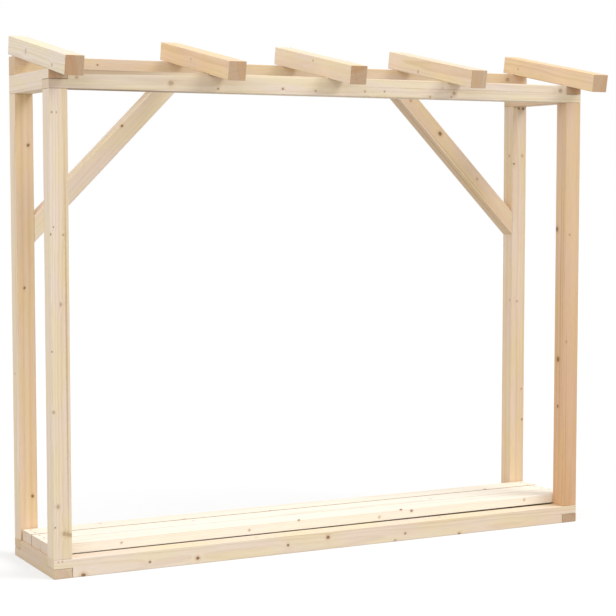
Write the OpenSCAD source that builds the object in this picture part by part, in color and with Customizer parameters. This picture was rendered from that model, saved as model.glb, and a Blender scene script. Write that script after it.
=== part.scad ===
// Log store: an open frame of square softwood timbers with a plank floor and sloping rafters.
// The front faces -Y, +Z is up, and the origin lies under the middle of the overall box.

/* [Frame] */
// Side of the square timber that the frame is cut from
timber = 70; // [50:1:90]
// Radius of the planed edges along each timber and board
arris = 3; // [1:0.5:6]
// Length of the frame along its front
frame_length = 2300; // [1800:10:3200]
// Depth of the frame from its front face to its back face
frame_depth = 460; // [400:5:800]
// Height of a post between the sills and the top frame
post_height = 1685; // [1200:5:2200]

/* [Floor] */
// Thickness of a floor board
board_thickness = 42; // [20:1:60]
// Gap on each side of a floor board
board_gap = 5; // [2:0.5:15]
// Distance by which the boards stop short of the frame's end faces
board_inset = 8; // [0:1:30]

/* [Roof] */
// Distance by which a rafter's lower edge reaches past the front face
front_overhang = 170; // [0:5:400]
// Distance by which a rafter's lower edge reaches past the back face
rear_overhang = 10; // [0:1:60]
// Depth of the level seats cut into a rafter's underside
seat_depth = 4; // [1:0.5:10]
// Sideways shift of the second rafter from an even spacing
second_rafter_shift = 58; // [-80:1:80]
// Sideways shift of the fourth rafter from an even spacing
fourth_rafter_shift = -24; // [-80:1:80]

/* [Braces] */
// Reach of a brace down its post and along the rear plate
brace_reach = 625; // [300:5:700]

/* [Hidden] */

// Smoothness of the planed edges
$fn = 32;

// Colours of the planed frame timbers and of the floor
timber_colour = [0.88, 0.77, 0.60];
board_colour = [0.93, 0.87, 0.76];

// Numbers of boards and rafters, as listed in NODES
board_count = 3;
rafter_count = 5;

// Half of a timber's thickness stays at each end of a corner lap
half = timber / 2;

// Levels from the ground up
sill_top = timber;
beam_bottom = sill_top + post_height;
beam_top = beam_bottom + timber;
plate_top = beam_top + timber;

// The rafters climb one timber between the front edges of the front beam and the rear plate
pitch = atan(timber / (frame_depth - timber));
rafter_length = (front_overhang + frame_depth + rear_overhang) / cos(pitch);
rafter_spacing = (frame_length - timber) / (rafter_count - 1);
rafter_shifts = [0, second_rafter_shift, 0, fourth_rafter_shift, 0];

// A rafter's square-cut front end leans out past its own lower edge
end_lean = timber * sin(pitch);

// Faces of the frame, with the overall box centred on the origin
left = -frame_length / 2;
right = frame_length / 2;
front = (front_overhang + end_lean - frame_depth - rear_overhang) / 2;
back = front + frame_depth;

// The boards share the clear depth between the front and rear posts
board_width = (frame_depth - 2 * timber - (board_count + 1) * board_gap) / board_count;

// Slope of a brace, and its length along the lower edge
brace_angle = 45;
brace_length = brace_reach / cos(brace_angle);

// Distance by which a cutting block passes the faces it cuts
cut_margin = 1;

// Block between two opposite corners
module block(low, high) {
    translate(low)
        cube(high - low);
}

// Cross-section of a planed timber, with its four corners eased
module planed_section(width, height) {
    translate([arris, 0])
        square([width - 2 * arris, height]);
    translate([0, arris])
        square([width, height - 2 * arris]);
    for (x = [arris, width - arris])
        for (y = [arris, height - arris])
            translate([x, y])
                circle(arris);
}

// Planed timber along +X, with the low corner of its box at the origin
module planed_timber(length, width = timber, height = timber) {
    rotate([90, 0, 90])
        linear_extrude(length)
            planed_section(width, height);
}

// What a corner lap takes off the near end of a timber, so that the named half is kept
module lap_cut(kept) {
    z_low = kept == "upper" ? -cut_margin : half;
    z_high = kept == "upper" ? half : timber + cut_margin;
    if (kept != "whole")
        block([-cut_margin, -cut_margin, z_low], [timber, timber + cut_margin, z_high]);
}

// Timber along +X whose two ends are left whole or halved for corner laps
module lapped_timber(length, near_end, far_end) {
    difference() {
        planed_timber(length);
        lap_cut(near_end);
        translate([length, 0, 0])
            mirror([1, 0, 0])
                lap_cut(far_end);
    }
}

// Turns a timber along +X to run from front to back, in the same low corner
module front_to_back() {
    translate([timber, 0, 0])
        rotate([0, 0, 90])
            children();
}

module front_sill() {
    color(timber_colour)
        translate([left, front, 0])
            lapped_timber(frame_length, "upper", "upper");
}

module rear_sill() {
    color(timber_colour)
        translate([left, back - timber, 0])
            lapped_timber(frame_length, "upper", "upper");
}

module side_sill(x) {
    color(timber_colour)
        translate([x, front, 0])
            front_to_back()
                lapped_timber(frame_depth, "lower", "lower");
}

module left_sill() {
    side_sill(left);
}

module right_sill() {
    side_sill(right - timber);
}

// Board number i, counted from the front, lying on the side sills
module floor_board(i) {
    y = front + timber + board_gap + (i - 1) * (board_width + board_gap);
    color(board_colour)
        translate([left + board_inset, y, sill_top])
            planed_timber(frame_length - 2 * board_inset, board_width, board_thickness);
}

module post(x, y) {
    color(timber_colour)
        translate([x, y, sill_top])
            linear_extrude(post_height)
                planed_section(timber, timber);
}

module front_left_post() {
    post(left, front);
}

module front_right_post() {
    post(right - timber, front);
}

module rear_left_post() {
    post(left, back - timber);
}

module rear_right_post() {
    post(right - timber, back - timber);
}

module front_beam() {
    color(timber_colour)
        translate([left, front, beam_bottom])
            lapped_timber(frame_length, "lower", "lower");
}

module cross_beam(x) {
    color(timber_colour)
        translate([x, front, beam_bottom])
            front_to_back()
                lapped_timber(frame_depth, "upper", "whole");
}

module left_cross_beam() {
    cross_beam(left);
}

module right_cross_beam() {
    cross_beam(right - timber);
}

// Plate across the back, carried by the cross-beams and the braces
module rear_plate() {
    color(timber_colour)
        translate([left, back - timber, beam_top])
            planed_timber(frame_length);
}

// Everything that a rafter has to clear: the top frame, and the plate above it
module rafter_seats() {
    x_low = left - cut_margin;
    x_high = right + cut_margin;
    block([x_low, front, beam_bottom], [x_high, back, beam_top]);
    block([x_low, back - timber, beam_top], [x_high, back, plate_top]);
}

// Rafter number i, counted from the left, square cut at both ends and notched over its two bearers
module rafter(i) {
    x = left + (i - 1) * rafter_spacing + rafter_shifts[i - 1];
    color(timber_colour)
        difference() {
            translate([x, front, beam_top - seat_depth])
                rotate([pitch, 0, 0])
                    translate([0, -front_overhang / cos(pitch), 0])
                        front_to_back()
                            planed_timber(rafter_length);
            rafter_seats();
        }
}

// Brace mitred to a post on its left and to the plate above, with that inner corner at the origin
module brace() {
    color(timber_colour)
        intersection() {
            translate([0, 0, -brace_reach])
                rotate([0, -brace_angle, 0])
                    translate([-timber, 0, 0])
                        planed_timber(brace_length + 2 * timber);
            block([0, -cut_margin, -brace_reach], [brace_reach, timber + cut_margin, 0]);
        }
}

module left_brace() {
    translate([left + timber, back - timber, beam_top])
        brace();
}

module right_brace() {
    translate([right - timber, back - timber, beam_top])
        mirror([1, 0, 0])
            brace();
}

front_sill();
rear_sill();
left_sill();
right_sill();
for (i = [1 : board_count]) floor_board(i);
front_left_post();
front_right_post();
rear_left_post();
rear_right_post();
front_beam();
left_cross_beam();
right_cross_beam();
rear_plate();
for (i = [1 : rafter_count]) rafter(i);
left_brace();
right_brace();
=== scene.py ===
"""Log store: planed spruce timbers, floor screws and a plain studio, around the fixed frame."""

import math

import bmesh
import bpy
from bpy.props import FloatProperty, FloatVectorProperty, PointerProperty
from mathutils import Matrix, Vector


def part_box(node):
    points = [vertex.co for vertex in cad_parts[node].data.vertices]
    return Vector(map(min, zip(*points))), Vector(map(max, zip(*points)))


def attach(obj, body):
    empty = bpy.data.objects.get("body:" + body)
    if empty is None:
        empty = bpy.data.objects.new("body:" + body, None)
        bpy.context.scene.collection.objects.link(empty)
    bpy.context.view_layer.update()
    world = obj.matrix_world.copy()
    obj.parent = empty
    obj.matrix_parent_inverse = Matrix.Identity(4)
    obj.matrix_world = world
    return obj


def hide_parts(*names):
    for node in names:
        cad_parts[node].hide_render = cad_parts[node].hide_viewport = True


bl_info = {
    "name": "Log store",
    "version": (1, 0, 0),
    "blender": (4, 5, 0),
    "location": "View3D > Sidebar > Log store",
    "description": "Dresses the log store's frame in planed spruce and sets up its studio",
    "category": "Object",
}

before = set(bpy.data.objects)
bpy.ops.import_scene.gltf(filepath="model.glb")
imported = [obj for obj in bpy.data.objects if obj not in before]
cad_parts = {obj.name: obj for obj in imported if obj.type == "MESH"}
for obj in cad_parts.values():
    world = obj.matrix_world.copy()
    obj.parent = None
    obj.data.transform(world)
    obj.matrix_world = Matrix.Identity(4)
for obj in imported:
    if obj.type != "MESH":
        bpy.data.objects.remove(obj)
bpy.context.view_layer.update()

MM = 0.001

# Directions that the studio's two soft lights come from, and the angles that they spread over
KEY_FROM = Vector((0.27, -0.22, 0.40))
KEY_SPREAD = math.radians(30)
FILL_FROM = Vector((-0.295, -0.155, 0.16))
FILL_SPREAD = math.radians(75)

# Width of the camera's sensor in millimetres
SENSOR_WIDTH = 36

# The studio floor's half side, its white as it is seen, the share of that which glows by itself, and the
# width over which the glow comes in at the edge of the store
FLOOR_REACH = 30
FLOOR_WHITE = (0.9, 0.9, 0.9, 1)
FLOOR_GLOW = 0.6
FLOOR_FADE = 40 * MM
WHITE = (1, 1, 1, 1)

# Spacing and size of the small knots that lie anywhere in the wood
SCATTER_CELL = 420 * MM
SCATTER_RADIUS = 3 * MM

# How much longer than wide a knot is, and how far its outline wavers
KNOT_STRETCH = 1.15
KNOT_WAVER = 5 * MM

# Cells to the metre of the wood's patterns, along the grain and across it
WAVER_CELLS = (90, 90, 90)
MOTTLE_CELLS = (420, 420, 420)
WANDER_CELLS = (1.2, 8, 8)
FIBRE_CELLS = (16, 520, 520)
DRIFT_CELLS = (1.8, 24, 24)
PATCH_CELLS = (4, 25, 25)
DASH_CELLS = (9, 260, 260)
PORE_CELLS = (300, 900, 900)
SPOKE_CELLS = (1, 9, 9)
SAW_CELLS = (40, 60, 700)
BAND_CELLS = 75

# Cells to the metre of the dull patches on the screws
ZINC_CELLS = (700, 700, 700)

# Shift of the patterns from one timber to the next, in metres
NEXT_LOG = (3.1, 1.7, 2.3)

# Bend of the growth rings by the log's wander and round a knot, and their spread along the timber
WANDER_BEND = 14 * MM
KNOT_BEND = 6 * MM
TAPER = 0.003

# How dark the wood gets through one year's growth
YEAR_STOPS = [(0.0, 0.0), (0.5, 0.12), (0.84, 1.0), (0.94, 0.75), (1.0, 0.0)]

# How far the edge of the darker inner wood varies between the sawn ends, and half of that edge's width
INNER_SPREAD = 14 * MM
INNER_EDGE = 6 * MM

# What the frame wood's colour is multiplied by in its yellower and in its pinker patches
YELLOW_CAST = (1, 1, 0.91, 1)
PINK_CAST = (1, 0.985, 1.06, 1)

# Distances from the front beam's left end at which the wane has its full colour, and has lost it
WANE_FULL = 250 * MM
WANE_GONE = 850 * MM

# Angles past which an edge counts as sharp, on wood and on a screw, and below which two faces are one
SHARP = math.radians(40)
SCREW_SHARP = math.radians(35)
FLAT = math.radians(0.5)

# Share of a face's direction past which it counts as square to an axis
SQUARE = 0.999

# Points nearer than this are one, and the faces of a lap lie deeper than this inside a timber's box
MERGE = 0.2 * MM
LAP_DEPTH = 10 * MM

# A screw's head: the steps round it, the rings of its dome, the height and width of its recess's floor
# as shares of the dome and the mouth, and the recess's lobes
HEAD_STEPS = 36
DOME_RINGS = (0.62, 0.78, 0.92, 1.0)
RECESS_FLOOR = 0.15
RECESS_TAPER = 0.9
LOBES = 6
LOBE_SWING = 0.16
SCREW_MERGE = 0.005 * MM

# Directions in the frame
RIGHT = Vector((1, 0, 0))
BACK = Vector((0, 1, 0))
UP = Vector((0, 0, 1))
FACES = {"front": -BACK, "back": BACK, "left": -RIGHT, "right": RIGHT, "top": UP, "bottom": -UP}

SILLS = ("front_sill", "rear_sill", "left_sill", "right_sill")
BOARDS = ("floor_board_1", "floor_board_2", "floor_board_3")
POSTS = ("front_left_post", "front_right_post", "rear_left_post", "rear_right_post")
TOP_FRAME = ("front_beam", "left_cross_beam", "right_cross_beam", "rear_plate")
RAFTERS = ("rafter_1", "rafter_2", "rafter_3", "rafter_4", "rafter_5")
BRACES = ("left_brace", "right_brace")
FRONT_TO_BACK = ("left_sill", "right_sill", "left_cross_beam", "right_cross_beam")
OPEN_LAPS = ("front_sill", "rear_sill", "front_beam")
WANED = "front_beam"
CUPPED = "floor_board_1"
TIMBERS = SILLS + BOARDS + POSTS + TOP_FRAME + RAFTERS + BRACES


def tone(red, green, blue):
    """Scene colour of an 8-bit screen colour."""
    shares = (red / 255, green / 255, blue / 255)
    return tuple(s / 12.92 if s <= 0.04045 else ((s + 0.055) / 1.055) ** 2.4 for s in shares)


class Grain:
    """What one timber's wood shows: how warm it is, where the log's heart runs, its knots and streaks.

    The heart is given in mm from the timber's middle, across its section. A knot is a face, its places
    along and across that face and its diameter, and a streak is a face, the places of its middle, its
    length and its width, all in mm. The pale share says how far the sawn ends keep the colour of the
    faces. The fade is the change of warmth from the timber's middle to its far end. The painted light
    faces are faces of another warmth, painted light: a paler top and cooler left faces, as the studio
    light falls on them. The shade makes the whole timber darker or paler, and is painted shade on the
    left sill and painted light on the left brace. The painted gap shade face is one darkened as if sawn
    and not planed, with its share of that darker colour: painted shade for the gaps between the boards.
    """

    def __init__(
        self,
        warmth,
        heart,
        pale_ends,
        knots=(),
        faint_knots=(),
        streaks=(),
        fade=0,
        sides=(),
        shade=1,
        painted_gap_shade=None,
    ):
        self.warmth = warmth
        self.heart = heart
        self.pale_ends = pale_ends
        self.knots = knots
        self.faint_knots = faint_knots
        self.streaks = streaks
        self.fade = fade
        self.sides = sides
        self.shade = shade
        self.painted_gap_shade = painted_gap_shade


GRAINS = {
    "front_sill": Grain(
        warmth=0.10,
        heart=(70, -15),
        pale_ends=0.75,
        knots=(
            ("front", 112, 5, 17),
            ("front", 370, 27, 9),
            ("front", 563, 22, 14),
            ("front", 1719, 3, 11),
            ("front", 941, 33, 10),
            ("front", 1115, 47, 14),
            ("front", 1464, 29, 8),
        ),
        faint_knots=(
            ("front", 1418, 5, 9),
            ("front", 18, 62, 5),
            ("front", 32, 63, 5),
            ("top", 820, 30, 10),
            ("top", 1650, 45, 12),
        ),
        fade=0.2,
        # Painted light: the top is paler, as if lit strongly from above
        sides=(("top", -0.5),),
    ),
    "rear_sill": Grain(warmth=0.35, heart=(-60, 30), pale_ends=0.6),
    # Painted shade: the left sill is darkened for the light that falls off towards the floor on the left
    "left_sill": Grain(warmth=0.40, heart=(40, -45), pale_ends=0.85, shade=0.88),
    "right_sill": Grain(warmth=0.50, heart=(-45, 40), pale_ends=0.1, shade=0.88),
    "floor_board_1": Grain(
        warmth=0.15,
        heart=(10, -60),
        pale_ends=0.5,
        knots=(("front", 1480, 40, 10), ("front", 1530, 30, 11), ("front", 1018, 40, 9)),
        faint_knots=(
            ("front", 280, 23, 8),
            ("front", 804, 21, 8),
            ("front", 1380, 18, 9),
            ("front", 2080, 28, 9),
        ),
    ),
    "floor_board_2": Grain(
        warmth=0.05,
        heart=(-35, -70),
        pale_ends=0.5,
        faint_knots=(("top", 640, 60, 10), ("top", 1700, 30, 11)),
        # Painted shade: a darker front face, for shade in the gap between boards
        painted_gap_shade=("front", 0.35),
    ),
    "floor_board_3": Grain(
        warmth=0.25,
        heart=(30, 60),
        pale_ends=0.5,
        knots=(("top", 2026, 8, 14), ("top", 997, 4, 9)),
        faint_knots=(("top", 625, 6, 12), ("top", 300, 70, 9)),
        # Painted shade: a darker front face, for shade in the gap between boards
        painted_gap_shade=("front", 1),
    ),
    "front_left_post": Grain(
        warmth=0.12,
        heart=(62, -30),
        pale_ends=0.5,
        knots=(
            ("front", 1196, 12, 5),
            ("front", 1171, 2, 6),
            ("front", 753, 2, 6),
            ("front", 119, 7, 5),
        ),
        faint_knots=(
            ("front", 921, 36, 10),
            ("front", 94, 42, 15),
            ("front", 91, 54, 13),
            ("front", 87, 65, 11),
            ("front", 194, 18, 12),
            ("front", 1601, 11, 6),
            ("front", 1601, 28, 6),
            ("front", 1168, 49, 7),
            ("front", 536, 6, 9),
        ),
        streaks=(("front", 760, 57, 1500, 9),),
        # Painted light: the left face is cooler, as if lit by the cool fill light
        sides=(("left", -0.1),),
    ),
    "front_right_post": Grain(
        warmth=0.32,
        heart=(-50, -4),
        pale_ends=0.4,
        knots=(("left", 1162, 59, 19), ("left", 617, 42, 21), ("left", 419, 40, 13)),
        faint_knots=(("front", 693, 11, 8), ("front", 1140, 22, 8)),
        streaks=(
            ("left", 860, 30, 1500, 5),
            ("left", 600, 50, 1100, 4),
            ("left", 1000, 14, 1300, 4),
            ("front", 300, 12, 900, 4),
        ),
        fade=-0.4,
    ),
    "rear_left_post": Grain(
        warmth=0.68,
        heart=(-30, -58),
        pale_ends=0.4,
        knots=(("front", 166, 50, 12), ("front", 1494, 49, 12), ("front", 959, 28, 10)),
        faint_knots=(("left", 632, 41, 8),),
        # Painted light: the left face is cooler, as if lit by the cool fill light
        sides=(("left", -0.5),),
    ),
    "rear_right_post": Grain(
        warmth=0.38,
        heart=(64, 24),
        pale_ends=0.4,
        knots=(
            ("front", 1438, 7, 9),
            # Painted shade: these two dark spots at the post's top stand for the contact shadow under the
            # cross-beam
            ("front", 1678, 30, 9),
            ("front", 1677, 52, 11),
            ("front", 316, 61, 8),
        ),
        faint_knots=(
            ("front", 1473, 49, 9),
            ("front", 839, 28, 8),
            ("front", 452, 56, 7),
            ("left", 1473, 28, 9),
            ("left", 844, 12, 7),
        ),
        fade=-0.2,
    ),
    "front_beam": Grain(
        warmth=-0.08,
        heart=(66, 6),
        pale_ends=0.7,
        knots=(("front", 653, 15, 6), ("front", 921, 21, 8), ("front", 1362, 23, 6)),
        faint_knots=(
            ("front", 105, 41, 9),
            ("front", 465, 31, 17),
            ("front", 1275, 21, 7),
            ("front", 1060, 17, 8),
            ("front", 1569, 6, 8),
            ("front", 1682, 25, 13),
            ("front", 1668, 9, 7),
            ("front", 2196, 48, 15),
        ),
        streaks=(("front", 1700, 38, 1050, 3),),
    ),
    "left_cross_beam": Grain(warmth=-0.05, heart=(58, -28), pale_ends=0.1),
    "right_cross_beam": Grain(warmth=0.55, heart=(-52, -34), pale_ends=0.1),
    "rear_plate": Grain(
        warmth=0.48,
        heart=(-56, -40),
        pale_ends=0.6,
        knots=(("front", 327, 47, 7),),
        faint_knots=(("front", 2200, 45, 14), ("front", 1240, 52, 8)),
    ),
    "rafter_1": Grain(
        warmth=-0.15,
        heart=(130, -30),
        pale_ends=0.05,
        faint_knots=(("left", 436, 35, 13), ("left", 137, 19, 11)),
    ),
    "rafter_2": Grain(
        warmth=0.70,
        heart=(-120, 25),
        pale_ends=0.25,
        faint_knots=(("left", 346, 37, 6),),
    ),
    "rafter_3": Grain(warmth=0.27, heart=(45, 130), pale_ends=0.05, faint_knots=(("left", 312, 53, 8),)),
    "rafter_4": Grain(warmth=0.32, heart=(150, 10), pale_ends=0.32, faint_knots=(("left", 403, 16, 9),)),
    "rafter_5": Grain(
        warmth=0.80,
        heart=(-140, -35),
        pale_ends=0.27,
        faint_knots=(("left", 540, 28, 6),),
    ),
    "left_brace": Grain(
        warmth=0.12,
        heart=(-44, 48),
        pale_ends=0.3,
        knots=(("front", 563, 62, 10),),
        # Painted light: the brace is made paler against the shadow that the rafters cast on it
        shade=1.08,
    ),
    "right_brace": Grain(
        warmth=0.52,
        heart=(40, 52),
        pale_ends=0.3,
        knots=(("front", 315, 44, 18),),
        faint_knots=(("front", 583, 42, 9), ("front", 116, 37, 10)),
        streaks=(("front", 450, 12, 800, 4), ("bottom", 450, 24, 800, 8)),
    ),
}


class Timber:
    """One straight stick: its node, its middle, its turn from grain to frame, and half of its sizes."""

    def __init__(self, node, middle, along, up, half):
        self.node = node
        self.middle = middle
        self.along = along
        self.turn = Matrix((along, up.cross(along), up)).transposed()
        self.half = half

    def on_face(self, face, along, across):
        """Point on a face, in grain coordinates, from the face's low corner in the frame."""
        outward = self.turn.transposed() @ FACES[face]
        through = 1 if abs(outward.y) > abs(outward.z) else 2
        sideways = 3 - through
        direction = self.turn.col[sideways]
        # Of two equal shares, as on a brace, the upright one counts
        sense = math.copysign(1, max(direction.zyx, key=lambda share: round(abs(share), 3)))
        point = Vector((along - self.half.x, 0, 0))
        point[through] = math.copysign(self.half[through], outward[through])
        point[sideways] = sense * (across - self.half[sideways])
        return point


def squared_timber(node, along, up):
    """Timber that lies square in the frame."""
    low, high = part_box(node)
    timber = Timber(node, (low + high) / 2, along, up, None)
    size = timber.turn.transposed() @ (high - low)
    timber.half = Vector([abs(side) / 2 for side in size])
    return timber


def rafter_timber(node):
    """Rafter, sloping as the rear plate stands above the front beam."""
    low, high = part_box(node)
    beam_low, beam_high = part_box("front_beam")
    plate_low, plate_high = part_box("rear_plate")
    along = Vector((0, plate_low.y - beam_low.y, plate_high.z - beam_high.z)).normalized()
    up = Vector((0, -along.z, along.y))
    thickness = high.x - low.x
    length = (high.y - low.y - thickness * along.z) / along.y
    half = Vector((length, thickness, thickness)) / 2
    return Timber(node, (low + high) / 2, along, up, half)


def brace_timber(node, rise):
    """Brace whose lower edge is the diagonal of its box, rising or falling to the right."""
    low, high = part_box(node)
    edge = Vector((high.x - low.x, 0, rise * (high.z - low.z)))
    along = edge.normalized()
    up = Vector((-along.z, 0, along.x))
    thickness = high.y - low.y
    half = Vector((edge.length, thickness, thickness)) / 2
    return Timber(node, (low + high) / 2 + up * thickness / 2, along, up, half)


def timber_of(node):
    """The timber that a node stands for, with its grain direction."""
    if node in RAFTERS:
        return rafter_timber(node)
    if node in BRACES:
        return brace_timber(node, 1 if node == "left_brace" else -1)
    if node in POSTS:
        return squared_timber(node, UP, -RIGHT)
    if node in FRONT_TO_BACK:
        return squared_timber(node, BACK, UP)
    return squared_timber(node, RIGHT, UP)


class Wire:
    """An output socket whose arithmetic adds Math nodes."""

    def __init__(self, sheet, socket):
        self.sheet = sheet
        self.socket = socket

    def math(self, operation, *others):
        """Result of a Math node that starts from this socket."""
        return self.sheet.math(operation, self, *others)

    def __add__(self, other):
        return self.math("ADD", other)

    def __sub__(self, other):
        return self.math("SUBTRACT", other)

    def __rsub__(self, other):
        return self.sheet.math("SUBTRACT", other, self)

    def __mul__(self, other):
        return self.math("MULTIPLY", other)

    def __truediv__(self, other):
        return self.math("DIVIDE", other)

    def __rtruediv__(self, other):
        return self.sheet.math("DIVIDE", other, self)

    __radd__ = __add__
    __rmul__ = __mul__


class Sheet:
    """A node tree being filled: one method adds a node, and the others name the common ones."""

    def __init__(self, tree):
        self.tree = tree

    def node(self, kind, settings, sockets, output=0):
        """Add a node, set it, fill its sockets with values or links, and give one of its outputs."""
        made = self.tree.nodes.new(kind)
        for name, value in settings.items():
            if name == "stops":
                self.set_stops(made.color_ramp, value)
            else:
                setattr(made, name, value)
        for key, value in sockets.items():
            if isinstance(value, Wire):
                self.link(value, made.inputs[key])
            else:
                made.inputs[key].default_value = value
        return Wire(self, made.outputs[output])

    def link(self, wire, socket):
        """Feed a result to a socket of a node that is already there."""
        self.tree.links.new(wire.socket, socket)

    def set_stops(self, ramp, stops):
        """Stops of a ramp from black to white, each a place and a level."""
        while len(ramp.elements) < len(stops):
            ramp.elements.new(1.0)
        for element, (place, level) in zip(ramp.elements, stops):
            element.position = place
            element.color = (level, level, level, 1)

    def math(self, operation, *values):
        """Result of arithmetic on numbers."""
        return self.node("ShaderNodeMath", {"operation": operation}, dict(enumerate(values)))

    def vector(self, operation, *values, output=0):
        """Result of arithmetic on vectors or colours."""
        settings = {"operation": operation}
        return self.node("ShaderNodeVectorMath", settings, dict(enumerate(values)), output)

    def length(self, vector):
        """Length of a vector."""
        return self.vector("LENGTH", vector, output=1)

    def scaled(self, vector, factor):
        """Vector or colour times a number."""
        return self.node("ShaderNodeVectorMath", {"operation": "SCALE"}, {0: vector, "Scale": factor})

    def facing(self, normal, direction):
        """Share of a face's direction that lies along another, from -1 to 1."""
        return self.vector("DOT_PRODUCT", normal, direction, output=1)

    def blend(self, share, first, second):
        """Colour between two others."""
        return self.node("ShaderNodeMix", {"data_type": "RGBA"}, {0: share, 6: first, 7: second}, 2)

    def rise(self, value, low, high):
        """Smooth step from 0 at low to 1 at high, or falling where low is the larger."""
        return self.node(
            "ShaderNodeMapRange",
            {"interpolation_type": "SMOOTHSTEP"},
            {"Value": value, "From Min": low, "From Max": high},
        )

    def noise(self, point, stretch, detail, output=0):
        """Noise whose cells are as many to the metre as stretch says, along each axis."""
        cells = self.vector("MULTIPLY", point, stretch)
        sockets = {"Vector": cells, "Scale": 1.0, "Detail": detail}
        return self.node("ShaderNodeTexNoise", {}, sockets, output)


def new_material(name):
    """Material with nodes, and the sheet that fills its tree."""
    material = bpy.data.materials.new(name)
    material.use_nodes = True
    return material, Sheet(material.node_tree)


def finished_mesh(shape, name):
    """Mesh of a shape that is done."""
    mesh = bpy.data.meshes.new(name)
    shape.to_mesh(mesh)
    shape.free()
    return mesh


def placed(name, data):
    """New object in the scene that shows a mesh, a lamp or a camera."""
    thing = bpy.data.objects.new(name, data)
    bpy.context.scene.collection.objects.link(thing)
    return thing


def paint(colour):
    """Colour socket's value of a colour."""
    return (*colour, 1)


def spot_distance(sheet, point, middle, reach):
    """Distance from a spot's middle, where 1 is its edge and reach its half size along each axis."""
    share = [1 / r for r in reach]
    offset = [-m / r for m, r in zip(middle, reach)]
    return sheet.length(sheet.vector("MULTIPLY_ADD", point, share, offset))


def nearest(distances):
    """The least of some distances."""
    least = distances[0]
    for distance in distances[1:]:
        least = least.math("MINIMUM", distance)
    return least


def knot_distances(sheet, point, timber, knots):
    """Distance from each knot of a timber, where 1 is the knot's edge."""
    distances = []
    for face, along, across, diameter in knots:
        middle = timber.on_face(face, along * MM, across * MM)
        radius = diameter * MM / 2
        distances.append(spot_distance(sheet, point, middle, (radius * KNOT_STRETCH, radius, radius)))
    return distances


def streak_distances(sheet, point, timber, streaks):
    """Distance from each streak of a timber, where 1 is the streak's edge."""
    distances = []
    for face, along, across, length, width in streaks:
        middle = timber.on_face(face, along * MM, across * MM)
        reach = (length * MM / 2, width * MM / 2, width * MM / 2)
        distances.append(spot_distance(sheet, point, middle, reach))
    return distances


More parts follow.
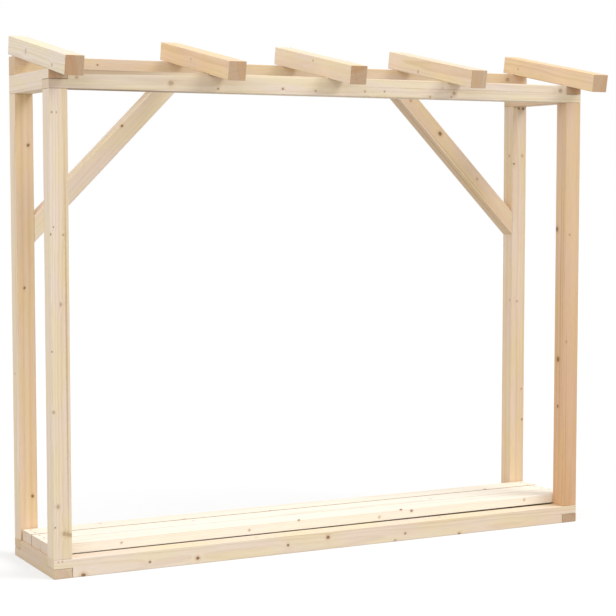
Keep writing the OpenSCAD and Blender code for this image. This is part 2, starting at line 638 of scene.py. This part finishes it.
class Figure:
    """The figure of one timber's wood: the patterns that its colours, roughness and relief share."""

    def __init__(self, sheet, timber, grain, seed):
        self.sheet = sheet
        self.timber = timber
        self.grain = grain
        self.seed = seed
        self.wood = bpy.context.scene.log_store_wood
        self.place = sheet.node("ShaderNodeTexCoord", {}, {}, "Object")
        turned = {"Vector": self.place, "Location": timber.middle, "Rotation": timber.turn.to_euler()}
        self.point = sheet.node("ShaderNodeMapping", {"vector_type": "TEXTURE"}, turned)
        self.along = sheet.node("ShaderNodeSeparateXYZ", {}, {"Vector": self.point})
        self.grown = sheet.vector("ADD", self.point, [step * seed for step in NEXT_LOG])
        self.normal = sheet.node("ShaderNodeNewGeometry", {}, {}, "Normal")
        # Sawn ends are known by the way their faces point
        self.end = sheet.rise(sheet.facing(self.normal, timber.along).math("ABSOLUTE"), 0.45, 0.75)
        self.wander = sheet.noise(self.grown, WANDER_CELLS, 2) - 0.5
        self.fibre = sheet.noise(self.grown, FIBRE_CELLS, 2)
        self.drift = sheet.noise(self.grown, DRIFT_CELLS, 2)
        self.lay_knots()
        self.lay_rings()
        self.lay_checks()

    def lay_knots(self):
        """Knots that the timber is known by, and a few small faint ones scattered through it."""
        sheet = self.sheet
        jitter = sheet.vector("SUBTRACT", sheet.noise(self.grown, WAVER_CELLS, 2, 1), (0.5, 0.5, 0.5))
        waver = (KNOT_WAVER, KNOT_WAVER, KNOT_WAVER)
        self.uneven = sheet.vector("MULTIPLY_ADD", jitter, waver, self.point)
        cells = {"Vector": self.grown, "Scale": 1 / SCATTER_CELL}
        scattered = sheet.node("ShaderNodeTexVoronoi", {}, cells) * (SCATTER_CELL / SCATTER_RADIUS)
        faint_knots = knot_distances(sheet, self.uneven, self.timber, self.grain.faint_knots)
        faint_distance = nearest([scattered, *faint_knots])
        knots = knot_distances(sheet, self.uneven, self.timber, self.grain.knots)
        distance = nearest([faint_distance, *knots])
        faint = sheet.rise(faint_distance, 1.2, 0.6)
        self.mottle = sheet.noise(self.grown, MOTTLE_CELLS, 2)
        self.knot = sheet.rise(distance, 1.15, 0.6) * (1 - faint * 0.55)
        self.knot_rim = sheet.rise(distance, 0.35, 0.95) * self.mottle
        self.halo = sheet.rise(distance, 2.6, 0.9)
        self.swirl = 1 / (1 + distance * distance * 0.6)

    def lay_rings(self):
        """Growth rings round the log's heart, bent by the log's own wander and round the knots."""
        sheet = self.sheet
        heart = (0, self.grain.heart[0] * MM, self.grain.heart[1] * MM)
        self.heart_distance = Vector(heart).length
        self.from_heart = sheet.vector("MULTIPLY", sheet.vector("SUBTRACT", self.point, heart), (0, 1, 1))
        bent = sheet.length(self.from_heart) + self.wander * WANDER_BEND + self.swirl * KNOT_BEND
        self.radius = bent + self.along * TAPER
        years = self.radius / self.wood.ring_width
        year = {"W": years.math("FLOOR") + self.seed}
        growth = sheet.node("ShaderNodeTexWhiteNoise", {"noise_dimensions": "1D"}, year)
        late = sheet.node("ShaderNodeValToRGB", {"stops": YEAR_STOPS}, {"Fac": years.math("FRACT")})
        self.late = late * (growth * 0.6 + 0.4)
        bands = {"W": self.radius * BAND_CELLS + self.seed, "Scale": 1.0, "Detail": 2.0}
        self.band = sheet.node("ShaderNodeTexNoise", {"noise_dimensions": "1D"}, bands)

    def lay_checks(self):
        """Fine pores and radial drying checks of the sawn ends."""
        sheet = self.sheet
        self.pores = sheet.noise(self.grown, PORE_CELLS, 2)
        spoke = sheet.noise(sheet.vector("NORMALIZE", self.from_heart), SPOKE_CELLS, 1) - 0.5
        self.check = sheet.rise(spoke.math("ABSOLUTE"), 0.008, 0.002) * sheet.rise(self.wander, 0.02, 0.1)

    def face_colour(self, sapwood, heartwood):
        """Colour of the planed faces, between pale and warm wood, with rings, resin, streaks and knots."""
        sheet = self.sheet
        wood = self.wood
        grain = self.grain
        warm = grain.warmth + (self.drift - 0.5) * 0.5 + (self.band - 0.5) * 0.6
        warm = warm + self.along * (grain.fade / self.timber.half.x)
        # Painted light: faces given another warmth for how the light falls, a paler top and cooler left
        # faces
        for face, change in grain.sides:
            warm = warm + sheet.rise(sheet.facing(self.normal, FACES[face]), 0.5, 0.9) * change
        warm = warm.math("MAXIMUM", 0.0).math("MINIMUM", 1.0)
        colour = sheet.blend(warm, paint(sapwood), paint(heartwood))
        if self.timber.node not in BOARDS:
            patch = sheet.rise(sheet.noise(self.grown, PATCH_CELLS, 1), 0.3, 0.7)
            colour = sheet.vector("MULTIPLY", colour, sheet.blend(patch, YELLOW_CAST, PINK_CAST))
        dash = sheet.rise(sheet.noise(self.grown, DASH_CELLS, 1), 0.68, 0.76)
        colour = sheet.blend(self.late * 0.30 + dash * 0.15, colour, paint(wood.latewood))
        if grain.streaks:
            nearest_streak = nearest(streak_distances(sheet, self.uneven, self.timber, grain.streaks))
            streak = sheet.rise(nearest_streak, 1.3, 0.3) * (self.fibre * 0.5 + 0.3)
            colour = sheet.blend(streak, colour, paint(wood.streak))
        colour = sheet.blend(self.halo * 0.30, colour, paint(wood.latewood))
        knot_colour = sheet.blend(self.knot_rim, paint(wood.knot), paint(wood.knot_rim))
        return sheet.blend(self.knot * (self.mottle * 0.4 + 0.65), colour, knot_colour)

    def end_colour(self, face_colour):
        """Colour of the sawn ends: darker inner and paler outer wood, strong rings, pores and checks."""
        sheet = self.sheet
        wood = self.wood
        reach = self.heart_distance + INNER_SPREAD * math.sin(2.4 * self.seed)
        inner = sheet.rise(self.radius, reach + INNER_EDGE, reach - INNER_EDGE)
        colour = sheet.blend(inner, paint(wood.end_pale), paint(wood.end_dark))
        colour = sheet.blend(self.late * 0.75, colour, paint(wood.end_rings))
        colour = sheet.scaled(colour, self.pores * 0.5 + 0.75)
        colour = sheet.blend(self.check * 0.4, colour, paint(wood.knot_rim))
        return sheet.blend(self.grain.pale_ends, colour, face_colour)

    def painted_gap_shade_colour(self, colour):
        """Colour where one face is darkened as if sawn: painted shade that shows in the gaps between the
        boards.
        """
        sheet = self.sheet
        face, share = self.grain.painted_gap_shade
        # The face's darkening is painted shade for the gaps between the boards
        sawn = sheet.rise(sheet.facing(self.normal, FACES[face]), 0.1, 0.5)
        return sheet.blend(sawn * share, colour, paint(self.wood.painted_gap_shade))

    def wane_colour(self, colour):
        """Colour where the log's own round was left: dull, and darker at its inner edge."""
        sheet = self.sheet
        wood = self.wood
        low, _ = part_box(WANED)
        here = sheet.vector("SUBTRACT", self.place, low)
        from_left = sheet.node("ShaderNodeSeparateXYZ", {}, {"Vector": here}, "X")
        from_front = sheet.node("ShaderNodeSeparateXYZ", {}, {"Vector": here}, "Y")
        reach = (wood.wane_length - from_left) * (wood.wane_depth / wood.wane_length)
        across = from_front / reach + (self.drift - 0.5) * 0.5
        waned = sheet.rise(self.wander * 0.4 + from_left, WANE_GONE, WANE_FULL)
        colour = sheet.blend(sheet.rise(across, -0.15, 0.3) * waned, colour, paint(wood.wane))
        return sheet.blend(sheet.rise(across, 0.7, 1.0) * waned * 0.35, colour, paint(wood.knot))

    def relief(self):
        """Bump of the grain, the knots and the planer's ripples on the faces, and of the saw on ends."""
        ripple = (self.along * (2 * math.pi / self.wood.ripple) + self.wander * 20).math("SINE")
        saw = self.sheet.noise(self.grown, SAW_CELLS, 1)
        face_height = self.late * 0.5 + self.fibre * 0.7 + self.knot * 0.6 + ripple * 0.05
        end_height = saw * 0.8 + self.pores * 0.5 + self.late * 0.6 - self.check * 1.5
        height = face_height * (1 - self.end) + end_height * self.end
        sockets = {"Strength": 0.35, "Distance": self.wood.relief, "Height": height}
        return self.sheet.node("ShaderNodeBump", {}, sockets)


def spruce(timber, grain, seed, sapwood, heartwood):
    """Planed spruce for one timber, with growth rings round the log's heart, knots and sawn end grain."""
    material, sheet = new_material(f"{timber.node}_spruce")
    figure = Figure(sheet, timber, grain, seed)
    face = figure.face_colour(sapwood, heartwood)
    ends = figure.end_colour(face)
    # Painted shade: a board's darker front face shows as shade in the gap to the next board
    if grain.painted_gap_shade:
        face = figure.painted_gap_shade_colour(face)
    if timber.node == WANED:
        face = figure.wane_colour(face)
    face = sheet.scaled(face, figure.fibre * 0.2 + 0.9)
    # The shade scale is painted shade on the left sill and painted light on the left brace
    colour = sheet.scaled(sheet.blend(figure.end, face, ends), grain.shade)
    roughness = 0.58 + figure.fibre * 0.14 - figure.late * 0.06 - figure.knot * 0.12 + figure.end * 0.2
    surface = sheet.tree.nodes["Principled BSDF"]
    sheet.link(colour, surface.inputs["Base Color"])
    sheet.link(roughness, surface.inputs["Roughness"])
    sheet.link(figure.relief(), surface.inputs["Normal"])
    surface.inputs["Specular IOR Level"].default_value = 0.35
    return material


def wood_tones(node):
    """Palest and warmest wood of a timber."""
    wood = bpy.context.scene.log_store_wood
    if node in BOARDS:
        return wood.board_sapwood, wood.board_heartwood
    if node in RAFTERS:
        return wood.rafter_sapwood, wood.rafter_heartwood
    if node == "front_right_post":
        return wood.deep_sapwood, wood.deep_heartwood
    return wood.sapwood, wood.heartwood


def sharp_edges(shape, timber):
    """Outer edges that the saw left sharp, which the eased arrises aren't. A rafter's seats stay sharp."""
    edges = [edge for edge in shape.edges if edge.is_convex and edge.calc_face_angle() > SHARP]
    if timber.node not in RAFTERS:
        return edges
    return [e for e in edges if any(abs(f.normal.dot(timber.along)) > SQUARE for f in e.link_faces)]


def open_laps(shape, node):
    """Cut the seats and shoulders of a timber's corner laps a little free, so that the joints show."""
    wood = bpy.context.scene.log_store_wood
    low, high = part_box(node)
    for face in shape.faces:
        axis = max(range(3), key=lambda a: abs(face.normal[a]))
        middle = face.calc_center_median()[axis]
        inside = min(middle - low[axis], high[axis] - middle) > LAP_DEPTH
        if inside and abs(face.normal[axis]) > SQUARE:
            bmesh.ops.translate(shape, verts=face.verts, vec=-face.normal * wood.lap_gap)


def wane():
    """Point on the flat that the log's round left along the front beam, and the way that flat faces."""
    wood = bpy.context.scene.log_store_wood
    low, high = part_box(WANED)
    corner = Vector((low.x, low.y, high.z))
    lower = corner - UP * wood.wane_height
    inner = corner + BACK * wood.wane_depth
    tip = corner + RIGHT * wood.wane_length
    return tip, (tip - lower).cross(inner - lower).normalized()


def cup():
    """Point on the flat hollow under the first board's front right corner, and the way it faces."""
    wood = bpy.context.scene.log_store_wood
    low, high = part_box(CUPPED)
    rear = Vector((high.x, high.y, low.z))
    front = Vector((high.x, low.y, low.z + wood.cup_height))
    return rear, (rear - low).cross(front - low).normalized()


def cut_back(shape, point, outward):
    """Cut a shape back to a flat."""
    geometry = [*shape.verts, *shape.edges, *shape.faces]
    cut = bmesh.ops.bisect_plane(
        shape, geom=geometry, plane_co=point, plane_no=outward, clear_outer=True
    )
    rim = [part for part in cut["geom_cut"] if isinstance(part, bmesh.types.BMEdge)]
    bmesh.ops.holes_fill(shape, edges=rim)


def planed_shape(timber):
    """Shape of a timber on its node's own outline, with the saw's sharp edges taken off."""
    node = timber.node
    wood = bpy.context.scene.log_store_wood
    shape = bmesh.new()
    shape.from_mesh(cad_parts[node].data)
    bmesh.ops.remove_doubles(shape, verts=shape.verts, dist=MERGE)
    bmesh.ops.dissolve_limit(shape, angle_limit=FLAT, verts=shape.verts, edges=shape.edges)
    if node in OPEN_LAPS:
        open_laps(shape, node)
    bmesh.ops.bevel(
        shape,
        geom=sharp_edges(shape, timber),
        offset=wood.saw_ease,
        affect="EDGES",
        segments=2,
        profile=0.5,
        material=-1,
        clamp_overlap=True,
    )
    if node == WANED:
        cut_back(shape, *wane())
    if node == CUPPED:
        cut_back(shape, *cup())
    if any(not edge.is_manifold for edge in shape.edges):
        raise RuntimeError(f"the timber {node} did not come out closed")
    return shape


def timber_piece(node):
    """Planed timber in place of its node."""
    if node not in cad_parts:
        raise RuntimeError(f"the frame has no timber named {node}")
    timber = timber_of(node)
    mesh = finished_mesh(planed_shape(timber), f"{node}_planed")
    mesh.shade_smooth()
    mesh.set_sharp_from_angle(angle=SHARP)
    piece = placed(f"{node}_planed", mesh)
    weighted = piece.modifiers.new("Flat faces", "WEIGHTED_NORMAL")
    weighted.keep_sharp = True
    mesh.materials.append(spruce(timber, GRAINS[node], TIMBERS.index(node) + 1, *wood_tones(node)))
    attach(piece, "root")
    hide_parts(node)


def screw_head(shape, screws, place):
    """Raised screw head with a six-lobed driver recess, sunk a little into the wood."""
    rim = screws.head / 2
    mouth = screws.recess / 2
    sunk = -screws.dome
    floor = screws.dome * RECESS_FLOOR
    dome = [(rim * r, screws.dome * (1 - r**2) + floor) for r in DOME_RINGS]
    recess = [(0, floor), (mouth * RECESS_TAPER, floor), (mouth, screws.dome)]
    outline = [*recess, *dome, (rim, sunk), (0, sunk)]
    points = [shape.verts.new(place + Vector((r, 0, z))) for r, z in outline]
    lines = [shape.edges.new(pair) for pair in zip(points, points[1:])]
    bmesh.ops.spin(
        shape,
        geom=points + lines,
        cent=place,
        axis=UP,
        angle=2 * math.pi,
        steps=HEAD_STEPS,
        use_merge=True,
    )
    head = [vert for vert in shape.verts if (vert.co - place).length < 2 * rim]
    bmesh.ops.remove_doubles(shape, verts=head, dist=SCREW_MERGE)
    # Only the recess's floor and mouth are pushed into lobes
    for vert in shape.verts:
        offset = (vert.co - place).to_2d()
        if 0.5 * mouth < offset.length < 1.05 * mouth:
            lobe = 1 + LOBE_SWING * math.cos(LOBES * math.atan2(offset.y, offset.x))
            vert.co.x = place.x + offset.x * lobe
            vert.co.y = place.y + offset.y * lobe


def zinc(screws):
    """Dull plated steel."""
    material, sheet = new_material("plated_screws")
    place = sheet.node("ShaderNodeTexCoord", {}, {}, "Object")
    cloud = sheet.noise(place, ZINC_CELLS, 3)
    colour = sheet.blend(cloud, paint(screws.colour), paint(screws.dull))
    roughness = cloud * 0.25 + 0.25
    surface = sheet.tree.nodes["Principled BSDF"]
    sheet.link(colour, surface.inputs["Base Color"])
    sheet.link(roughness, surface.inputs["Roughness"])
    surface.inputs["Metallic"].default_value = 1.0
    return material


def white_rays(sheet):
    """1 for rays that show the surround itself, straight, mirrored or through glass."""
    seen = sheet.node("ShaderNodeLightPath", {}, {}, "Is Camera Ray")
    mirrored = sheet.node("ShaderNodeLightPath", {}, {}, "Is Glossy Ray")
    through = sheet.node("ShaderNodeLightPath", {}, {}, "Is Transmission Ray")
    return seen.math("MAXIMUM", mirrored).math("MAXIMUM", through)


def clear_of_store(sheet):
    """0 on the floor that the ground frame covers, and 1 outside it."""
    left, front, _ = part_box("left_sill")[0]
    right, back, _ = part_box("right_sill")[1]
    middle = ((left + right) / 2, (front + back) / 2, 0)
    place = sheet.node("ShaderNodeTexCoord", {}, {}, "Object")
    offset = sheet.vector("ABSOLUTE", sheet.vector("SUBTRACT", place, middle))
    across = sheet.node("ShaderNodeSeparateXYZ", {}, {"Vector": offset}, "X")
    deep = sheet.node("ShaderNodeSeparateXYZ", {}, {"Vector": offset}, "Y")
    beyond = (across - (right - left) / 2).math("MAXIMUM", deep - (back - front) / 2)
    return sheet.rise(beyond, -FLOOR_FADE, 0.0)


def studio_floor(studio):
    """Pale floor that reads as white and keeps the store's shadow."""
    shape = bmesh.new()
    bmesh.ops.create_grid(shape, x_segments=1, y_segments=1, size=FLOOR_REACH)
    mesh = finished_mesh(shape, "studio_floor")
    floor = placed("studio_floor", mesh)
    material, sheet = new_material("studio_floor")
    white = white_rays(sheet)
    shown = sheet.blend(white, paint(studio.floor), FLOOR_WHITE)
    matt = sheet.node("ShaderNodeBsdfDiffuse", {}, {"Color": shown})
    glow = sheet.node("ShaderNodeEmission", {}, {"Strength": 1.0})
    share = white * clear_of_store(sheet) * FLOOR_GLOW
    mixed = sheet.node("ShaderNodeMixShader", {}, {0: share, 1: matt, 2: glow})
    sheet.link(mixed, sheet.tree.nodes["Material Output"].inputs["Surface"])
    mesh.materials.append(material)


def studio_sky(studio):
    """Even light from all round, seen as white."""
    world = bpy.data.worlds.new("studio_sky")
    bpy.context.scene.world = world
    world.use_nodes = True
    sheet = Sheet(world.node_tree)
    light = sheet.node("ShaderNodeBackground", {}, {"Color": WHITE, "Strength": studio.sky})
    white = sheet.node("ShaderNodeBackground", {}, {"Color": WHITE, "Strength": 1.0})
    mixed = sheet.node("ShaderNodeMixShader", {}, {0: white_rays(sheet), 1: light, 2: white})
    sheet.link(mixed, sheet.tree.nodes["World Output"].inputs["Surface"])


def soft_light(name, comes_from, spread, strength):
    """Broad even light from one side."""
    lamp = bpy.data.lights.new(name, "SUN")
    lamp.angle = spread
    lamp.energy = strength
    holder = placed(name, lamp)
    holder.rotation_euler = (-comes_from).to_track_quat("-Z", "Y").to_euler()


def studio_camera(studio):
    """Camera at the place and angle that the settings give."""
    camera = bpy.data.cameras.new("camera")
    camera.lens = studio.lens
    camera.sensor_width = SENSOR_WIDTH
    holder = placed("camera", camera)
    holder.location = studio.camera_place
    holder.rotation_euler = (math.pi / 2 - studio.camera_dip, 0, -studio.camera_turn)
    bpy.context.scene.camera = holder


def colour_property(name, description, default):
    """Property that holds a colour."""
    return FloatVectorProperty(
        name=name,
        description=description,
        subtype="COLOR",
        size=3,
        min=0,
        max=1,
        default=default,
    )


def length_property(name, description, default):
    """Property that holds a length in metres."""
    return FloatProperty(
        name=name,
        description=description,
        subtype="DISTANCE",
        unit="LENGTH",
        min=0,
        precision=4,
        default=default,
    )


def strength_property(name, description, default):
    """Property that holds a light's strength."""
    return FloatProperty(name=name, description=description, min=0, default=default)


class LogStoreWood(bpy.types.PropertyGroup):
    """Colours and fine sizes of the spruce."""

    sapwood: colour_property("Sapwood", "Palest planed wood of the frame", tone(238, 222, 198))
    heartwood: colour_property("Heartwood", "Warmest planed wood of the frame", tone(222, 188, 144))
    board_sapwood: colour_property("Board sapwood", "Palest wood of the boards", tone(250, 243, 230))
    board_heartwood: colour_property("Board heartwood", "Warmest wood of the boards", tone(243, 228, 203))
    rafter_sapwood: colour_property("Rafter sapwood", "Palest wood of a rafter", tone(240, 226, 203))
    rafter_heartwood: colour_property("Rafter heartwood", "Warmest wood of a rafter", tone(238, 203, 158))
    deep_sapwood: colour_property("Deep sapwood", "Palest wood of the red post", tone(228, 199, 166))
    deep_heartwood: colour_property("Deep heartwood", "Warmest wood of the red post", tone(213, 164, 112))
    latewood: colour_property("Latewood", "Dark part of a growth ring", tone(197, 154, 104))
    streak: colour_property("Streak", "Dull streaks along the grain", tone(176, 142, 98))
    knot: colour_property("Knot", "Middle of a knot", tone(128, 88, 54))
    knot_rim: colour_property("Knot rim", "Bark ring round a knot", tone(66, 43, 27))
    # Painted shade: this darker colour on the boards' front faces stands for shade in the gaps between
    # them
    painted_gap_shade: colour_property("Rough sawn", "Long faces that were sawn and not planed", tone(158, 132, 100))
    wane: colour_property("Wane", "The log's own round, left on one edge", tone(176, 153, 124))
    wane_height: length_property("Wane height", "Height of the wane at the beam's left end", 21 * MM)
    wane_depth: length_property("Wane depth", "Depth of the wane at the beam's left end", 13 * MM)
    wane_length: length_property("Wane length", "Length over which the wane runs out", 1600 * MM)
    cup_height: length_property("Cup height", "Height of the hollow under the first board", 5 * MM)
    lap_gap: length_property("Lap gap", "Width of the joints round the corner laps", 1.1 * MM)
    end_pale: colour_property("Pale end grain", "Paler wood of a sawn end", tone(206, 174, 141))
    end_dark: colour_property("Dark end grain", "Darker wood of a sawn end", tone(204, 163, 123))
    end_rings: colour_property("End rings", "Dark part of a growth ring on a sawn end", tone(160, 118, 82))
    ring_width: length_property("Ring width", "Growth of the tree in one year", 4.6 * MM)
    relief: length_property("Relief", "Depth of the grain in a planed face", 0.5 * MM)
    ripple: length_property("Ripple", "Length of the planer's ripples", 2.4 * MM)
    saw_ease: length_property("Sawn edges", "Width taken off the edges of sawn ends and laps", 1.8 * MM)


class LogStoreScrews(bpy.types.PropertyGroup):
    """Sizes of the floor screws."""

    head: length_property("Head", "Diameter of a screw's head", 9 * MM)
    dome: length_property("Dome", "Height of a head above the wood", 0.9 * MM)
    recess: length_property("Recess", "Diameter of the driver's recess", 4.2 * MM)
    from_end: length_property("From end", "Distance of a screw from a board's end", 24 * MM)
    from_side: length_property("From side", "Distance of a screw from a board's side", 24 * MM)
    colour: colour_property("Zinc", "Colour of the plated heads", tone(196, 190, 176))
    dull: colour_property("Dull zinc", "Colour of the plating where it has dulled", tone(150, 146, 134))


class LogStoreStudio(bpy.types.PropertyGroup):
    """Camera, lamps and floor."""

    camera_place: FloatVectorProperty(
        name="Camera place",
        description="Where the camera stands",
        subtype="TRANSLATION",
        unit="LENGTH",
        default=(-3.0609, -5.8255, 1.4097),
    )
    camera_turn: FloatProperty(
        name="Camera turn",
        description="Turn of the camera to the right of the frame's depth",
        subtype="ANGLE",
        unit="ROTATION",
        default=math.radians(27.345),
    )
    camera_dip: FloatProperty(
        name="Camera dip",
        description="Tilt of the camera below the horizon",
        subtype="ANGLE",
        unit="ROTATION",
        default=math.radians(4.152),
    )
    lens: FloatProperty(
        name="Lens",
        description="Focal length of the camera, in millimetres",
        subtype="DISTANCE_CAMERA",
        unit="CAMERA",
        min=1,
        default=97.80,
    )
    sky: strength_property("Sky", "Strength of the light from all round", 0.66)
    key: strength_property("Key", "Strength of the light from the upper right", 1.66)
    fill: strength_property("Fill", "Strength of the light from the left", 1.16)
    floor: colour_property("Floor", "Colour of the floor, as it lights the store", tone(177, 177, 177))


class LOGSTORE_OT_ground_frame(bpy.types.Operator):
    """Make the four sills of the ground frame"""

    bl_idname = "log_store.ground_frame"
    bl_label = "Ground frame"

    def execute(self, context):
        for node in SILLS:
            timber_piece(node)
        return {"FINISHED"}


class LOGSTORE_OT_floor_boards(bpy.types.Operator):
    """Make the three floor boards"""

    bl_idname = "log_store.floor_boards"
    bl_label = "Floor boards"

    def execute(self, context):
        for node in BOARDS:
            timber_piece(node)
        return {"FINISHED"}


class LOGSTORE_OT_floor_screws(bpy.types.Operator):
    """Make the screws at the ends of the floor boards"""

    bl_idname = "log_store.floor_screws"
    bl_label = "Floor screws"

    def execute(self, context):
        screws = context.scene.log_store_screws
        shape = bmesh.new()
        for node in BOARDS:
            low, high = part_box(node)
            for x in (low.x + screws.from_end, high.x - screws.from_end):
                for y in (low.y + screws.from_side, high.y - screws.from_side):
                    screw_head(shape, screws, Vector((x, y, high.z)))
        bmesh.ops.recalc_face_normals(shape, faces=shape.faces)
        mesh = finished_mesh(shape, "floor_screws")
        mesh.shade_smooth()
        mesh.set_sharp_from_angle(angle=SCREW_SHARP)
        mesh.materials.append(zinc(screws))
        piece = placed("floor_screws", mesh)
        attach(piece, "root")
        return {"FINISHED"}


class LOGSTORE_OT_posts(bpy.types.Operator):
    """Make the four corner posts"""

    bl_idname = "log_store.posts"
    bl_label = "Posts"

    def execute(self, context):
        for node in POSTS:
            timber_piece(node)
        return {"FINISHED"}


class LOGSTORE_OT_top_frame(bpy.types.Operator):
    """Make the front beam, the cross-beams and the rear plate"""

    bl_idname = "log_store.top_frame"
    bl_label = "Top frame"

    def execute(self, context):
        for node in TOP_FRAME:
            timber_piece(node)
        return {"FINISHED"}


class LOGSTORE_OT_rafters(bpy.types.Operator):
    """Make the five rafters"""

    bl_idname = "log_store.rafters"
    bl_label = "Rafters"

    def execute(self, context):
        for node in RAFTERS:
            timber_piece(node)
        return {"FINISHED"}


class LOGSTORE_OT_braces(bpy.types.Operator):
    """Make the two braces in the back plane"""

    bl_idname = "log_store.braces"
    bl_label = "Braces"

    def execute(self, context):
        for node in BRACES:
            timber_piece(node)
        return {"FINISHED"}


class LOGSTORE_OT_stage(bpy.types.Operator):
    """Make the floor, the lamps, the white surround and the camera"""

    bl_idname = "log_store.stage"
    bl_label = "Stage"

    def execute(self, context):
        studio = context.scene.log_store_studio
        studio_floor(studio)
        studio_sky(studio)
        soft_light("key", KEY_FROM, KEY_SPREAD, studio.key)
        soft_light("fill", FILL_FROM, FILL_SPREAD, studio.fill)
        studio_camera(studio)
        context.scene.view_settings.view_transform = "Standard"
        return {"FINISHED"}


OPERATORS = (
    LOGSTORE_OT_ground_frame,
    LOGSTORE_OT_floor_boards,
    LOGSTORE_OT_floor_screws,
    LOGSTORE_OT_posts,
    LOGSTORE_OT_top_frame,
    LOGSTORE_OT_rafters,
    LOGSTORE_OT_braces,
    LOGSTORE_OT_stage,
)


class LOGSTORE_PT_sidebar(bpy.types.Panel):
    """Lists the log store's pieces and settings"""

    bl_idname = "LOGSTORE_PT_sidebar"
    bl_label = "Log store"
    bl_space_type = "VIEW_3D"
    bl_region_type = "UI"
    bl_category = "Log store"

    def draw(self, context):
        """A button for each operator, and then the settings."""
        scene = context.scene
        for operator in OPERATORS:
            self.layout.operator(operator.bl_idname)
        for group in (scene.log_store_wood, scene.log_store_screws, scene.log_store_studio):
            for name in group.__annotations__:
                self.layout.prop(group, name)


CLASSES = (LogStoreWood, LogStoreScrews, LogStoreStudio, *OPERATORS, LOGSTORE_PT_sidebar)


def register():
    """Register the classes, and give each scene the settings."""
    for each in CLASSES:
        bpy.utils.register_class(each)
    bpy.types.Scene.log_store_wood = PointerProperty(type=LogStoreWood)
    bpy.types.Scene.log_store_screws = PointerProperty(type=LogStoreScrews)
    bpy.types.Scene.log_store_studio = PointerProperty(type=LogStoreStudio)


def unregister():
    """Undo what register did."""
    del bpy.types.Scene.log_store_studio
    del bpy.types.Scene.log_store_screws
    del bpy.types.Scene.log_store_wood
    for each in reversed(CLASSES):
        bpy.utils.unregister_class(each)


def main():
    """Make the whole scene."""
    register()
    bpy.ops.log_store.ground_frame()
    bpy.ops.log_store.floor_boards()
    bpy.ops.log_store.floor_screws()
    bpy.ops.log_store.posts()
    bpy.ops.log_store.top_frame()
    bpy.ops.log_store.rafters()
    bpy.ops.log_store.braces()
    bpy.ops.log_store.stage()


if __name__ == "__main__":
    main()
